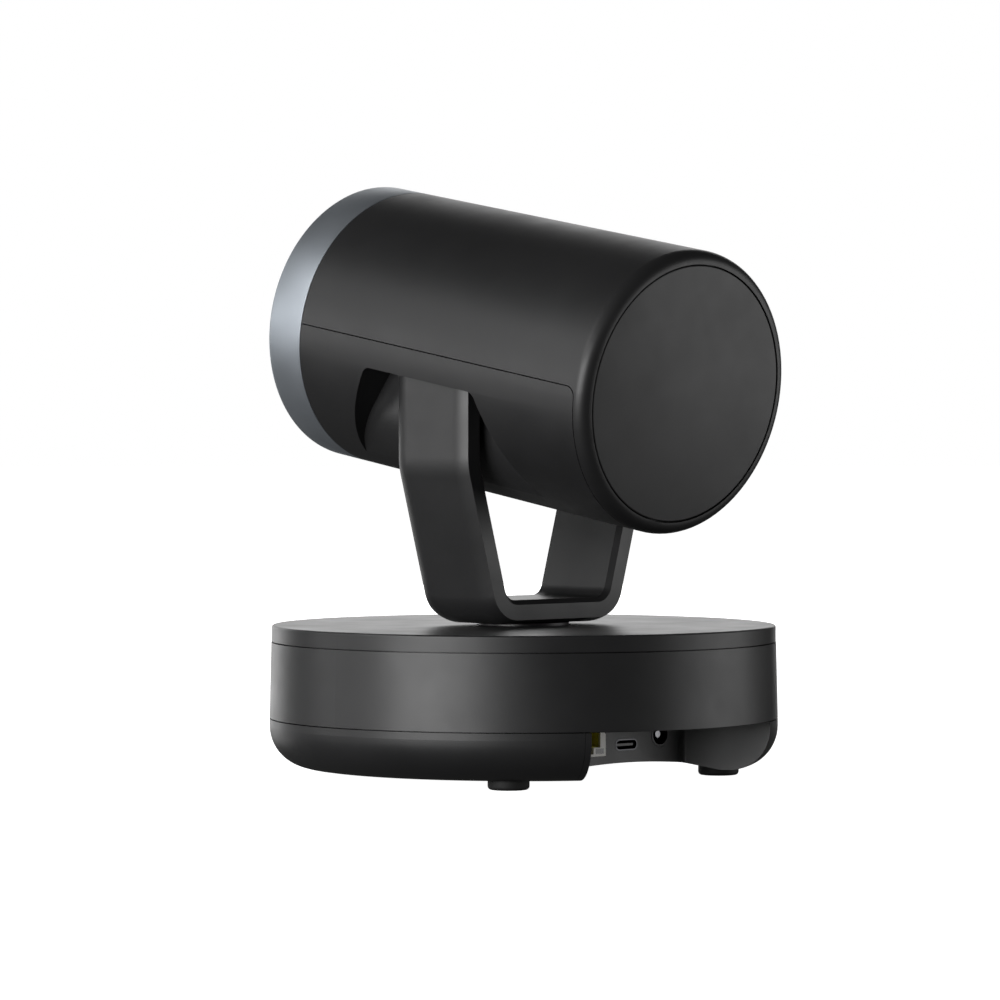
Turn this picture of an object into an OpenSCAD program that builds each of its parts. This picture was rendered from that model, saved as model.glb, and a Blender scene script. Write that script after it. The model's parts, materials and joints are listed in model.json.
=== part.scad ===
/* [Base] */
// Outside diameter of the base at its lower seam
base_d = 150; // [140:1:190]
// Height of the base's top face above the surface
base_h = 44.6; // [42:0.2:60]
// Diameter of the base at its top edge
base_top_d = 148.7; // [139:0.1:189]
// Height of the seam between tray and band
tray_seam_z = 17.2; // [16:0.1:19]
// Depth of the top cover's rim below the base's top face
cover_rim_h = 4.9; // [4:0.1:7]
// Radius of the bowl-shaped edge of the tray
bowl_r = 12.2; // [8:0.1:13]
// Height of the tray's lowest edge above the surface
tray_lift = 2.8; // [2.2:0.1:3.4]
// Extra height of the dished middle of the underside
dish_rise = 3; // [1:0.1:3.2]
// Wall thickness of the base mouldings
base_wall = 1.8; // [1.4:0.1:2.4]
// Width of the dark seams between the mouldings
seam = 0.35; // [0.2:0.05:0.6]

/* [Feet and tripod socket] */
// Diameter of a rubber foot
foot_d = 12; // [9:0.5:14]
// Sideways distance of the rear feet from the pan axis
foot_rear_x = 43; // [38:0.5:46]
// Distance of the rear feet behind the pan axis
foot_rear_y = 38.4; // [34:0.2:40]
// Sideways distance of the front feet from the pan axis
foot_front_x = 28.8; // [26:0.2:32]
// Distance of the front feet ahead of the pan axis
foot_front_y = 49.9; // [46:0.1:50.4]
// Radius of the tripod socket's wall
tripod_r = 3.175; // [2.5:0.005:4.8]
// Depth of the tripod socket
tripod_depth = 8; // [6:0.5:9]

/* [Port bay] */
// Distance of the port panel behind the pan axis
port_y = 42; // [36:0.5:46]
// Half width of the port panel
port_half_w = 24; // [23:0.5:28]
// Angle of the bay's side walls from straight back
flare = 28; // [15:1:35]
// Corner radius between port panel and side walls
bay_corner_r = 2; // [1:0.1:3]
// Width of the network jack
lan_w = 16; // [15:0.1:17]
// Sideways place of the network jack
lan_x = 15.8; // [14:0.1:18]
// Height of the bottom of the network jack
lan_z = 8.1; // [8:0.1:9]
// Width of the round-ended data port
usb_w = 8.94; // [8.3:0.02:9.4]
// Height of the round-ended data port
usb_h = 3.26; // [2.6:0.02:3.8]
// Height of the data port's centre
usb_z = 11; // [10:0.1:13]
// Sideways place of the data port
usb_x = -0.8; // [-2:0.1:1]
// Bore radius of the power inlet
dc_r = 3; // [2.5:0.05:3.3]
// Height of the power inlet's centre
dc_z = 13.4; // [12.5:0.1:13.4]
// Sideways place of the power inlet
dc_x = -14.8; // [-17:0.1:-12]

/* [Pan drive] */
// Radius of the neck between base and yoke
neck_r = 13.4; // [13:0.1:16]
// Height of the neck above the base
neck_h = 0.75; // [0.7:0.05:1.5]
// Bore radius of the pan bearing
bearing_in_r = 12.5; // [12:0.1:13]
// Outside radius of the pan bearing
bearing_out_r = 18.5; // [17.5:0.1:19.5]
// Width of the pan bearing
bearing_w = 7; // [6:0.5:8]
// Gear module
gear_m = 0.8; // [0.6:0.05:0.85]
// Teeth of the pan gear
pan_teeth = 56; // [56:2:60]
// Teeth of both pinions
pinion_teeth = 14; // [14:2:16]
// Teeth of the tilt gear
tilt_teeth = 36; // [32:2:36]
// Play between meshing teeth
backlash = 0.16; // [0.1:0.02:0.3]
// Diameter of the pan motor
pan_motor_d = 28; // [20:1:30]

/* [Yoke] */
// Distance between the outer faces of the arms
yoke_w = 75.7; // [75.2:0.1:76.2]
// Depth of the yoke from front to back
yoke_depth = 29.5; // [26:0.5:30]
// Thickness of the yoke's strap without its inner cover
yoke_t = 5.85; // [5.5:0.05:6]
// How far the strap's outer face falls away towards its edges
crown_drop = 1.35; // [1:0.05:1.5]
// Width of each falling edge of the strap's outer face
crown_run = 5.5; // [4:0.1:6.5]
// Lean of the lower arms
arm_lean = 15.5; // [8:0.5:16]
// Outer bend radius where an arm turns upright
upper_bend_r = 23.4; // [16:0.2:27]
// Outer bend radius between arm and bar
lower_bend_r = 11.4; // [10:0.1:15]
// Height of the kink in the arms below the tilt axis
kink_drop = 29.1; // [26:0.1:32]

/* [Head] */
// Height of the tilt axis above the surface
pivot_z = 123.6; // [122:0.2:150]
// Nose-up tilt of the head as it stands
rest_tilt = 9.3; // [0:0.1:15]
// Outside diameter of the head
head_d = 82.6; // [82:0.2:84]
// Length of the head behind the tilt axis
head_rear = 67.9; // [62:0.1:85]
// Length of the head ahead of the tilt axis
head_front = 67.7; // [64:0.1:85]
// Length of the metal front ring
ring_len = 14.5; // [12:0.1:17]
// Wall thickness of the head's shells
head_wall = 2; // [1.6:0.1:2]
// Height of the shell seam above the tilt axis
seam_h = 1.3; // [0:0.1:2.5]
// Radius of the head's rear edge
rear_edge_r = 3.8; // [2.5:0.1:4.5]
// Distance of a pocket's top edge below the tilt axis
pocket_top = 7.1; // [7:0.1:8]
// Half width that a pocket's slanted walls would have at the tilt axis
pocket_half = 19.2; // [18.6:0.1:20]
// How far the pockets sit forward of the tilt axis
pocket_forward = 1.2; // [0:0.1:1.4]
// Slant of a pocket's side walls
pocket_slant = 28.8; // [24:0.2:30]
// Half distance between the two pockets' inner walls
pocket_x = 29; // [28.8:0.1:29.2]
// Radius of a pocket's lower curve
pocket_r = 21.5; // [21.2:0.1:23]

/* [Optics] */
// Outside radius of the rear part of the lens barrel
barrel_r = 17.5; // [16.5:0.1:17.8]
// Outside radius of the front part of the lens barrel
nose_r = 22.5; // [21:0.1:26]
// Distance of the lens barrel's front end ahead of the tilt axis
nose_s = 60; // [58:0.5:61]
// Radius of a guide rod
rod_r = 0.9; // [0.6:0.05:1.2]
// Radius of a lead screw
lead_r = 1.2; // [0.9:0.05:1.5]

/* [Hidden] */

$fn = 72;
far = 200;              // longer than any piece, for cutters
slip = 0.1;             // gap between mouldings that plug together
run_gap = 0.05;         // radial play of a shaft in its bush
screw_r = 1.5;          // M3 screw
screw_hole_r = 1.7;     // clearance hole of an M3 screw
screw_head_r = 2.75;
screw_head_h = 1.6;

// Base mouldings: heights of the three seams and the rabbets behind them
base_r = base_d / 2;
base_top_r = base_top_d / 2;
tray_top = tray_seam_z - seam / 2;
band_bottom = tray_seam_z + seam / 2;
cover_seam_z = base_h - cover_rim_h;
band_top = cover_seam_z - seam / 2;
cover_bottom = cover_seam_z + seam / 2;
cover_under = base_h - 2.2;
lip_r = base_top_r - base_wall - slip;
lip_in_r = lip_r - 1.5;
lip_h = 2.3;
dish_out_r = base_r - bowl_r - 2.8;
dish_in_r = 42;
floor_z = tray_lift + dish_rise + base_wall;
edge_r = 0.6;

// Stack inside the base, from the floor up
board_z = tray_top;
board_t = 1.6;
chassis_z = board_z + 7;
chassis_t = 2;
chassis_r = lip_in_r - 5;
hub_bottom = chassis_z + chassis_t + 0.8;
retainer_h = 1.5;
gear_w = 5;
gear_z = hub_bottom + retainer_h + 0.2;
bearing_z = cover_under - bearing_w;
foot_h = tray_lift + 1.1;
foot_places = [for (side = [-1, 1], p = [[foot_rear_x, foot_rear_y], [foot_front_x, -foot_front_y]])
    [side * p[0], p[1]]];
counterbore_z = 11;
post_r = 4;
insert_r = tripod_r + 2.3;
insert_flange_t = 1;
insert_top = tray_lift + dish_rise + tripod_depth;
board_hole_at = [for (x = [-26, 26], y = [12, 34]) [x, y]];
window_w = 26;
window_h = 7.5;
window_z = (tray_seam_z + base_h - cover_rim_h) / 2;
window_gap_x = 22;
light_r = 1.2;

// Port bay
tan_flare = tan(flare);
corner_x = port_half_w + bay_corner_r * tan_flare - bay_corner_r / cos(flare);
bay_far_y = base_r + 5;
lan_chamfer = 2.6;
lan_open_w = 11.7;
lan_latch_w = 6.2;
lan_latch_h = 1.9;
lan_depth = 16;
lan_proud = 0.2;
led_w = 3.4;
led_h = 1.6;
led_x = (lan_w - led_w) / 2 - 0.8;
led_z = lan_z + 0.7 + led_h / 2;

// Pan drive
hub_r = bearing_in_r;
hub_bore_r = 7;
hub_screw_r = 10.2;
ball_r = 2;
ball_track_r = (bearing_in_r + bearing_out_r) / 2;
race_gap = run_gap;
pan_pitch = gear_m * pan_teeth / 2;
pinion_pitch = gear_m * pinion_teeth / 2;
tilt_pitch = gear_m * tilt_teeth / 2;
pan_centres = pan_pitch + pinion_pitch;
tilt_centres = tilt_pitch + pinion_pitch;
pressure_angle = 25;

// Yoke: a strap of constant thickness; both bends are tangent to the straights
yoke_z = base_h + neck_h;
kink_z = pivot_z - kink_drop;
upper_c = [yoke_w / 2 - upper_bend_r, kink_z];
lean_start = upper_c + upper_bend_r * [cos(arm_lean), -sin(arm_lean)];
lower_c_z = yoke_z + lower_bend_r;
lean_end_z = lower_c_z - lower_bend_r * sin(arm_lean);
lean_end_x = lean_start[0] - (lean_start[1] - lean_end_z) * tan(arm_lean);
lower_c = [lean_end_x - lower_bend_r * cos(arm_lean), lower_c_z];
arm_full_z = pivot_z - 4;
channel_top_z = pivot_z - 13;
arm_top_r = 12;
channel_half = 10.2;
channel_depth = 2;
cable_cover_t = 1.35;
cable_cover_half = yoke_depth / 2 - cable_cover_t;
web = yoke_t - channel_depth;
web_top = yoke_z + web;
crown_steps = [[0, 0.5, crown_drop + 0.4], [0.4, 0.8, crown_drop + 0.6], [1, 1, yoke_t]];

// Tilt pivots, from the arms inwards
arm_in_x = yoke_w / 2 - yoke_t;
arm_end_t = 4.7;
arm_end_x = arm_in_x + arm_end_t;
stub_r = 4.5;
stub_flange_r = 6.2;
stub_flange_t = 1.5;
stub_bore_r = 2.2;
spigot_r = 3.5;
nut_r = 5.2;
nut_t = 1.6;
bush_r = 6.5;
bush_flange_r = 8;
bush_flange_t = 1.2;
side_plate_x = 24;
side_plate_t = 2;
tilt_gear_x = 19.3;
tilt_gear_w = 3.2;
tilt_gear_bore = 4;

// Head: x stays sideways, y is up through the head and z runs forward along it
head_r = head_d / 2;
skin_in_r = head_r - head_wall;
spigot_out_r = skin_in_r - slip;
spigot_in_r = spigot_out_r - 1.1;
ring_s = head_front - ring_len;
rear_seam_s = rear_edge_r - head_rear + 0.1;
seam_corner_r = 3;
cap_r = head_r - rear_edge_r - 0.3;
cap_t = 2.5;
bezel_r = head_r - 2.3;
bezel_front = head_front - 1.1;
rear_wall_s = cap_t - head_rear;
rear_wall_t = 2;
rear_hole_r = 30;
pocket_y = -19;
pocket_c_x = pocket_x - pocket_r;
pocket_wall = 1.6;
pocket_corner_r = 3.5;
chassis_bottom = -22;
chassis_top = 14;
chassis_rear_s = -34;
chassis_front_s = 32;
shell_post_r = 34;
shell_screw_r = 1.25;
chassis_screw_at = [for (x = [-8, 8], s = [-24, 24]) [x, s]];

// Optics
barrel_in_r = barrel_r - 2;
nose_in_r = nose_r - 2.2;
barrel_rear_s = -2;
barrel_step_s = 40;
rear_bulkhead_s = 5;
front_bulkhead_s = 38.5;
bulkhead_t = 1.5;
rod_y = 12.2;
lead_at = 8.3;
lens_motor_r = 3.2;
cell_r = 8;
cell_lens_r = 6.5;
zoom_s = 16;
focus_s = 32;
dome_r = 32;

plastic = [0.09, 0.09, 0.095];
dark = [0.05, 0.05, 0.055];
steel = [0.72, 0.73, 0.75];
brass = [0.78, 0.62, 0.32];
board_green = [0.08, 0.3, 0.18];
lens_blue = [0.25, 0.3, 0.45];

// ---------- helpers ----------

// Places children given in the head's own frame
module in_head() {
    translate([0, 0, pivot_z]) rotate([90 - rest_tilt, 0, 0]) children();
}

// Extrudes a side-view outline, drawn as [along the head, up], across the head
module across(width) {
    rotate([0, -90, 0]) linear_extrude(width, center = true) children();
}

module tube(outer_r, inner_r, height) {
    difference() {
        cylinder(r = outer_r, h = height);
        translate([0, 0, -1]) cylinder(r = inner_r, h = height + 2);
    }
}

module round_rect(size, r) {
    square([size[0] - 2 * r, size[1]], center = true);
    square([size[0], size[1] - 2 * r], center = true);
    for (x = [-1, 1], y = [-1, 1])
        translate([x * (size[0] / 2 - r), y * (size[1] / 2 - r)]) circle(r);
}

function involute(a) = tan(a) * 180 / PI - a;

// Polar angle of a tooth's flank at radius r, from the tooth's middle
function flank_angle(r, teeth) = let (base = gear_m * teeth / 2 * cos(pressure_angle))
    90 / teeth - backlash / 4 / (gear_m * teeth / 2) * 180 / PI
    + involute(pressure_angle) - involute(acos(min(1, base / r)));

function polar(r, a) = [r * cos(a), r * sin(a)];

// Points along an arc about c from angle a0 to angle a1
function arc(c, r, a0, a1, steps = 12) = [for (i = [0:steps]) c + polar(r, a0 + (a1 - a0) * i / steps)];

function mirrored(points) = [for (i = [len(points) - 1:-1:0]) [-points[i][0], points[i][1]]];

function tooth(teeth, i) = let (
        outer = gear_m * (teeth / 2 + 1),
        root = gear_m * (teeth / 2 - 1.25),
        start = max(root, gear_m * teeth / 2 * cos(pressure_angle)),
        steps = 4,
        mid = 360 / teeth * i)
    concat([polar(root, mid - flank_angle(start, teeth))],
        [for (k = [0:steps]) let (r = start + (outer - start) * k / steps)
            polar(r, mid - flank_angle(r, teeth))],
        [for (k = [steps:-1:0]) let (r = start + (outer - start) * k / steps)
            polar(r, mid + flank_angle(r, teeth))],
        [polar(root, mid + flank_angle(start, teeth))]);

module gear_outline(teeth) {
    polygon([for (i = [0:teeth - 1]) each tooth(teeth, i)]);
}

// A screw with its head's underside at the origin, shaft running down
module screw(length, r = screw_r, head_r = screw_head_r, head_h = screw_head_h) {
    translate([0, 0, -length]) cylinder(r = r, h = length);
    difference() {
        cylinder(r = head_r, h = head_h);
        translate([0, 0, head_h / 2]) cylinder(r = head_r * 0.45, h = head_h, $fn = 6);
    }
}

// ---------- base mouldings ----------

// Cross-section of the bowl and its dished underside, moved inwards by inset
module bowl_profile(inset) {
    difference() {
        union() {
            square([base_r - bowl_r, far]);
            translate([base_r - bowl_r, tray_lift + bowl_r]) {
                circle(bowl_r - inset);
                square([bowl_r - inset, far]);
            }
        }
        translate([0, -far]) square([far, far + tray_lift + inset]);
        polygon([[0, 0], [dish_out_r, 0], [dish_out_r, tray_lift + inset],
            [dish_in_r, tray_lift + dish_rise + inset], [0, tray_lift + dish_rise + inset]]);
        translate([-far, 0]) square([far, far]);
    }
}

// The bay's outline seen from above, moved outwards by grow
module bay_plan(grow) {
    side = grow / cos(flare);
    near_y = port_y - grow;
    near_x = port_half_w + side - grow * tan_flare;
    far_x = port_half_w + side + (bay_far_y - port_y) * tan_flare;
    polygon([[-near_x, near_y], [near_x, near_y], [far_x, bay_far_y], [-far_x, bay_far_y]]);
}

// The open space of the bay, with rounded inner corners
module bay_space() {
    far_x = port_half_w + (bay_far_y - port_y) * tan_flare;
    side = concat(arc([corner_x, port_y + bay_corner_r], bay_corner_r, -90, -flare, 6),
        [[far_x, bay_far_y]]);
    polygon(concat(side, mirrored(side)));
}

module base_tray() {
    color(plastic) difference() {
        union() {
            rotate_extrude() intersection() {
                difference() {
                    bowl_profile(0);
                    bowl_profile(base_wall);
                }
                square([far, tray_top]);
            }
            translate([0, 0, tray_top - 3.5]) tube(base_r - base_wall + 0.1, lip_in_r, 3.5);
            translate([0, 0, tray_top - 1]) tube(lip_r, lip_in_r, lip_h + 1 + seam / 2);
            for (p = foot_places) translate([p[0], p[1], tray_lift + 2])
                cylinder(r = post_r, h = chassis_z - tray_lift - 2);
            translate([0, 0, floor_z - 0.5])
                cylinder(r = tripod_r + 5, h = insert_top - insert_flange_t - floor_z + 0.5);
        }
        translate([0, 0, -1]) linear_extrude(far) bay_plan(base_wall + slip);
        for (p = foot_places) translate([p[0], p[1], -1]) {
            cylinder(r = foot_d / 2 + slip, h = foot_h + 1);
            cylinder(r = screw_head_r + 0.3, h = counterbore_z + 1);
            cylinder(r = screw_hole_r, h = far);
        }
        cylinder(r = insert_r, h = far);
    }
}

module base_band() {
    color(plastic) difference() {
        union() {
            rotate_extrude() polygon([[lip_r + slip, band_bottom],
                [base_r, band_bottom], [base_top_r + 0.12, band_top],
                [lip_r + slip, band_top]]);
            for (z = [tray_seam_z + lip_h, cover_seam_z - lip_h - 1.5])
                translate([0, 0, z]) tube(lip_r + slip + 0.2, lip_in_r, 1.5);
        }
        front_window_cut(slip);
        translate([window_gap_x, 0, window_z]) rotate([90, 0, 0]) cylinder(r = light_r + slip, h = far);
    }
}

module front_window_cut(grow) {
    translate([0, 0, window_z]) rotate([90, 0, 0]) linear_extrude(far)
        round_rect([window_w + 2 * grow, window_h + 2 * grow], 2 + grow);
}

// A slice of the band's own wall, so that what sits in it follows its curve
module band_wall_slice() {
    rotate_extrude() polygon([[lip_r + slip, band_bottom], [base_r - 0.15, band_bottom],
        [base_top_r - 0.03, band_top], [lip_r + slip, band_top]]);
}

module ir_window() {
    color([0.12, 0.02, 0.04]) intersection() {
        band_wall_slice();
        front_window_cut(0);
    }
}

module status_light() {
    color([0.8, 0.85, 0.9]) intersection() {
        band_wall_slice();
        translate([window_gap_x, 0, window_z]) rotate([90, 0, 0]) cylinder(r = light_r, h = far);
    }
}

module base_top_cover() {
    neck_hole_r = neck_r + 0.6;
    color(plastic) difference() {
        union() {
            rotate_extrude() {
                translate([0, cover_under]) square([base_top_r - edge_r, base_h - cover_under]);
                translate([base_top_r - edge_r, base_h - edge_r]) circle(edge_r, $fn = 32);
                translate([lip_in_r, cover_bottom])
                    square([base_top_r - lip_in_r, base_h - edge_r - cover_bottom]);
                translate([lip_in_r, cover_seam_z - lip_h]) square([lip_r - lip_in_r, lip_h + 1]);
            }
            translate([0, 0, bearing_z - 1]) tube(bearing_out_r + 3, bearing_out_r, bearing_w + 1.5);
            for (p = foot_places) translate([p[0], p[1], chassis_z + chassis_t])
                cylinder(r = post_r, h = cover_under - chassis_z - chassis_t + 0.5);
        }
        translate([0, 0, cover_under - 1]) cylinder(r = neck_hole_r, h = 10);
        translate([0, 0, cover_under - 1]) cylinder(r = bearing_out_r - 1.3, h = 1.3);
        for (p = foot_places) translate([p[0], p[1], 0]) cylinder(r = screw_r, h = chassis_z + 13);
    }
}

module lan_outline(grow) {
    w = lan_w / 2 + grow;
    z = lan_z - grow;
    top = tray_top;
    polygon([[-w, z], [w, z], [w, top - lan_chamfer], [w - lan_chamfer, top],
        [lan_chamfer - w, top], [-w, top - lan_chamfer]]);
}

// Extrudes an outline drawn as [sideways, up] from y forwards by depth
module facing_back(y, depth) {
    translate([0, y, 0]) rotate([90, 0, 0]) linear_extrude(depth) children();
}

module port_bay() {
    color(plastic) difference() {
        union() {
            intersection() {
                rotate_extrude() intersection() {
                    bowl_profile(0);
                    square([far, tray_top]);
                }
                linear_extrude(far) bay_plan(base_wall);
            }
            intersection() {
                translate([0, 0, tray_top - 0.5]) cylinder(r = lip_r, h = 2.3);
                linear_extrude(far) bay_plan(base_wall);
            }
        }
        linear_extrude(tray_top) bay_space();
        facing_back(port_y + 1, 5) translate([lan_x, 0]) lan_outline(slip);
        facing_back(port_y + 1, 5) translate([usb_x, usb_z])
            round_rect([usb_w + 2 * slip, usb_h + 2 * slip], usb_h / 2 + slip - 0.01);
        translate([dc_x, port_y + 1, dc_z]) rotate([90, 0, 0]) cylinder(r = dc_r + 0.6 + slip, h = 5);
    }
}

module rubber_feet() {
    r = foot_d / 2;
    color(dark) for (p = foot_places) translate([p[0], p[1], 0])
        rotate_extrude() polygon([[0, 0], [r - 0.7, 0], [r, 0.7], [r, foot_h], [0, foot_h]]);
}

module casing_screws() {
    color(steel) for (p = foot_places) translate([p[0], p[1], counterbore_z])
        rotate([180, 0, 0]) screw(chassis_z + 12 - counterbore_z);
}

module tripod_insert() {
    color(brass) {
        translate([0, 0, tray_lift + dish_rise]) tube(insert_r, tripod_r, tripod_depth);
        translate([0, 0, insert_top - insert_flange_t]) tube(tripod_r + 4.2, tripod_r, insert_flange_t);
    }
}

// ---------- inside the base ----------

module base_chassis() {
    color(steel) difference() {
        union() {
            translate([0, 0, chassis_z]) cylinder(r = chassis_r, h = chassis_t);
            for (p = board_hole_at) translate([p[0], p[1], board_z + board_t])
                cylinder(r = 2.6, h = chassis_z - board_z - board_t + 0.5);
        }
        cylinder(r = hub_bore_r + 2, h = far);
        translate([0, -pan_centres, 0]) cylinder(r = 4.5, h = far);
        for (p = foot_places) translate([p[0], p[1], 0]) cylinder(r = screw_hole_r, h = far);
        for (p = board_hole_at) translate([p[0], p[1], 0]) cylinder(r = shell_screw_r, h = far);
        for (a = [150, 210, 330, 30]) rotate(a) translate([45, 0, 0]) cylinder(r = 8, h = far);
    }
}

module interface_board() {
    half_w = 30;
    color(board_green) difference() {
        union() {
            translate([-half_w, 8, board_z])
                cube([2 * half_w, port_y - base_wall - slip - 8, board_t]);
            translate([-8, 14, board_z + board_t]) cube([14, 14, 1.4]);
            translate([12, 16, board_z + board_t]) cube([7, 5, 1.1]);
            for (i = [0:4]) translate([-22 + 3 * i, 30, board_z + board_t]) cube([1.6, 3, 1.2]);
        }
        for (p = board_hole_at) translate([p[0], p[1], 0]) cylinder(r = shell_screw_r + 0.2, h = far);
    }
}

module board_screws() {
    color(steel) for (p = board_hole_at) translate([p[0], p[1], board_z])
        rotate([180, 0, 0]) screw(6, shell_screw_r, 2.25, 1.4);
}

module ethernet_jack() {
    front = port_y + lan_proud;
    mid_z = lan_z + 0.7 + lan_latch_h;
    color([0.9, 0.88, 0.8]) difference() {
        facing_back(front, lan_depth) translate([lan_x, 0]) lan_outline(0);
        facing_back(front + 1, lan_depth - 1.5) translate([lan_x, 0]) {
            translate([-lan_open_w / 2, mid_z]) square([lan_open_w, tray_top - 0.7 - mid_z]);
            translate([-lan_latch_w / 2, lan_z + 0.7]) square([lan_latch_w, lan_latch_h + 1]);
        }
        for (x = [-1, 1]) translate([lan_x + x * led_x, front - 2, led_z]) cube([led_w, 6, led_h], true);
    }
}

module ethernet_leds() {
    color([0.1, 0.12, 0.1]) for (x = [-1, 1])
        translate([lan_x + x * led_x, port_y + lan_proud - 2, led_z]) cube([led_w, 4, led_h], true);
}

module ethernet_contacts() {
    pitch = 1.02;
    top = tray_top - 0.7;
    color(brass) for (i = [0:7])
        translate([lan_x + (i - 3.5) * pitch - 0.2, port_y - 10, 0]) rotate([90, 0, 90])
            linear_extrude(0.4) polygon([[-2, top], [8, top], [8, top - 0.4], [6.5, top - 0.5],
                [0, top - 3], [-0.4, top - 2.6], [4.6, top - 0.5], [-2, top - 0.5]]);
}

module usb_c_shell() {
    color(steel) difference() {
        union() {
            facing_back(port_y + 0.1, 8) translate([usb_x, usb_z])
                round_rect([usb_w, usb_h], usb_h / 2 - 0.01);
            translate([usb_x - 3.5, port_y - 7.9, usb_z]) cube([7, 3.5, tray_top - usb_z]);
        }
        facing_back(port_y + 1, 7.9) translate([usb_x, usb_z])
            round_rect([usb_w - 0.6, usb_h - 0.6], usb_h / 2 - 0.31);
    }
}

module usb_c_tongue() {
    color(dark) translate([usb_x - 3.35, port_y - 6.9, usb_z - 0.35]) cube([6.7, 6.3, 0.7]);
}

module dc_jack_body() {
    width = 9;
    low = dc_z - dc_r - 1.2;
    color(dark) difference() {
        union() {
            translate([dc_x - width / 2, port_y - 13, low]) cube([width, 11, tray_top - low]);
            translate([dc_x, port_y + 0.1, dc_z]) rotate([90, 0, 0]) cylinder(r = dc_r + 0.6, h = 5);
        }
        translate([dc_x, port_y + 1, dc_z]) rotate([90, 0, 0]) cylinder(r = dc_r, h = 10);
    }
}

module dc_jack_pin() {
    color(steel) translate([dc_x, port_y - 1, dc_z]) rotate([90, 0, 0]) cylinder(r = 1, h = 8);
}

module pan_motor() {
    bottom = floor_z + 1.2;
    color(steel) translate([0, -pan_centres, 0]) difference() {
        union() {
            translate([0, 0, bottom]) cylinder(r = pan_motor_d / 2, h = chassis_z - bottom);
            translate([0, 0, chassis_z - 0.5]) cylinder(r = 4.2, h = chassis_t + 0.3);
        }
        translate([0, 0, bottom + 5]) cylinder(r = screw_r + run_gap, h = far);
    }
}

module pan_pinion() {
    turn = 90 + 180 / pinion_teeth;
    color(brass) translate([0, -pan_centres, 0]) {
        translate([0, 0, gear_z]) rotate(turn) linear_extrude(gear_w) gear_outline(pinion_teeth);
        translate([0, 0, floor_z + 8]) cylinder(r = screw_r, h = gear_z + gear_w - floor_z - 7);
    }
}

module race_cut() {
    translate([0, 0, bearing_w / 2]) rotate_extrude() translate([ball_track_r, 0])
        circle(ball_r + race_gap, $fn = 48);
}

module pan_bearing_outer() {
    color(steel) translate([0, 0, bearing_z]) difference() {
        tube(bearing_out_r, ball_track_r + 1.3, bearing_w);
        race_cut();
    }
}

module pan_bearing_inner() {
    color(steel) translate([0, 0, bearing_z]) difference() {
        tube(ball_track_r - 1.3, bearing_in_r, bearing_w);
        race_cut();
    }
}

module pan_bearing_balls() {
    balls = 16;
    color([0.85, 0.86, 0.88]) for (i = [0:balls - 1]) rotate(360 / balls * i)
        translate([ball_track_r, 0, bearing_z + bearing_w / 2]) sphere(ball_r, $fn = 32);
}

// ---------- turning part: neck and yoke ----------

module hub_screw_places() {
    for (a = [45:90:359]) rotate(a) translate([hub_screw_r, 0, 0]) children();
}

module neck_hub() {
    color(dark) difference() {
        union() {
            translate([0, 0, hub_bottom]) cylinder(r = hub_r, h = cover_under - hub_bottom);
            translate([0, 0, cover_under]) cylinder(r = neck_r, h = yoke_z - cover_under);
        }
        cylinder(r = hub_bore_r, h = far);
        hub_screw_places() translate([0, 0, yoke_z - 10]) cylinder(r = screw_r, h = far);
    }
}

module pan_gear() {
    turn = -90;
    color([0.85, 0.84, 0.78]) difference() {
        union() {
            translate([0, 0, gear_z]) rotate(turn) linear_extrude(gear_w) gear_outline(pan_teeth);
            translate([0, 0, gear_z]) cylinder(r = ball_track_r - 1.6, h = bearing_z - gear_z);
        }
        cylinder(r = hub_r, h = far);
    }
}

module retaining_ring() {
    color(steel) translate([0, 0, gear_z - retainer_h]) tube(hub_r + 2.8, hub_r, retainer_h);
}

// Area enclosed by the yoke's outer surface, moved inwards by depth and cut off at top_z
module yoke_outline(depth, top_z) {
    upper = upper_bend_r - depth;
    side = concat(arc(lower_c, lower_bend_r - depth, -90, -arm_lean),
        arc(upper_c, upper, -arm_lean, 0, 6), [[upper_c[0] + upper, top_z]]);
    polygon(concat(side, mirrored(side)));
}

// A layer of the yoke between two depths under its outer surface
module yoke_layer(from_depth, to_depth, top_z, width) {
    rotate([90, 0, 0]) linear_extrude(width, center = true) difference() {
        yoke_outline(from_depth, top_z);
        yoke_outline(to_depth, top_z + 1);
    }
}

// Upper end of an arm: the width narrows to a disc around the tilt axis
module arm_end() {
    half = yoke_depth / 2;
    full = arm_full_z - pivot_z;
    translate([arm_in_x, 0, pivot_z]) rotate([90, 0, 90]) linear_extrude(arm_end_t) {
        circle(arm_top_r);
        polygon([[-half, full - 2], [half, full - 2], [half, full],
            [arm_top_r * cos(20), arm_top_r * sin(20)],
            [-arm_top_r * cos(20), arm_top_r * sin(20)], [-half, full]]);
    }
}

// The strap's outer face is crowned: each layer has a share of the drop, a share of the run
// towards the edge, and the depth it reaches down to
module crowned_strap() {
    for (layer = crown_steps) {
        width = yoke_depth - 2 * crown_run * (1 - layer[1]);
        yoke_layer(crown_drop * layer[0], layer[2], arm_full_z, width);
    }
}

module yoke() {
    color(plastic) difference() {
        union() {
            crowned_strap();
            for (side = [0, 1]) mirror([side, 0, 0]) arm_end();
        }
        yoke_layer(web, yoke_t + 1, channel_top_z - 1, 2 * channel_half);
        cylinder(r = hub_bore_r, h = web_top + 0.5);
        hub_screw_places() cylinder(r = screw_hole_r, h = web_top + 0.5);
        translate([0, 0, pivot_z]) rotate([0, 90, 0]) cylinder(r = spigot_r, h = far, center = true);
        for (side = [0, 1]) mirror([side, 0, 0])
            translate([arm_end_x - nut_t, 0, pivot_z]) rotate([0, 90, 0]) cylinder(r = nut_r + 0.4, h = 5);
    }
}

module yoke_cable_cover() {
    color(dark) yoke_layer(yoke_t, yoke_t + cable_cover_t, channel_top_z, 2 * cable_cover_half);
}

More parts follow.
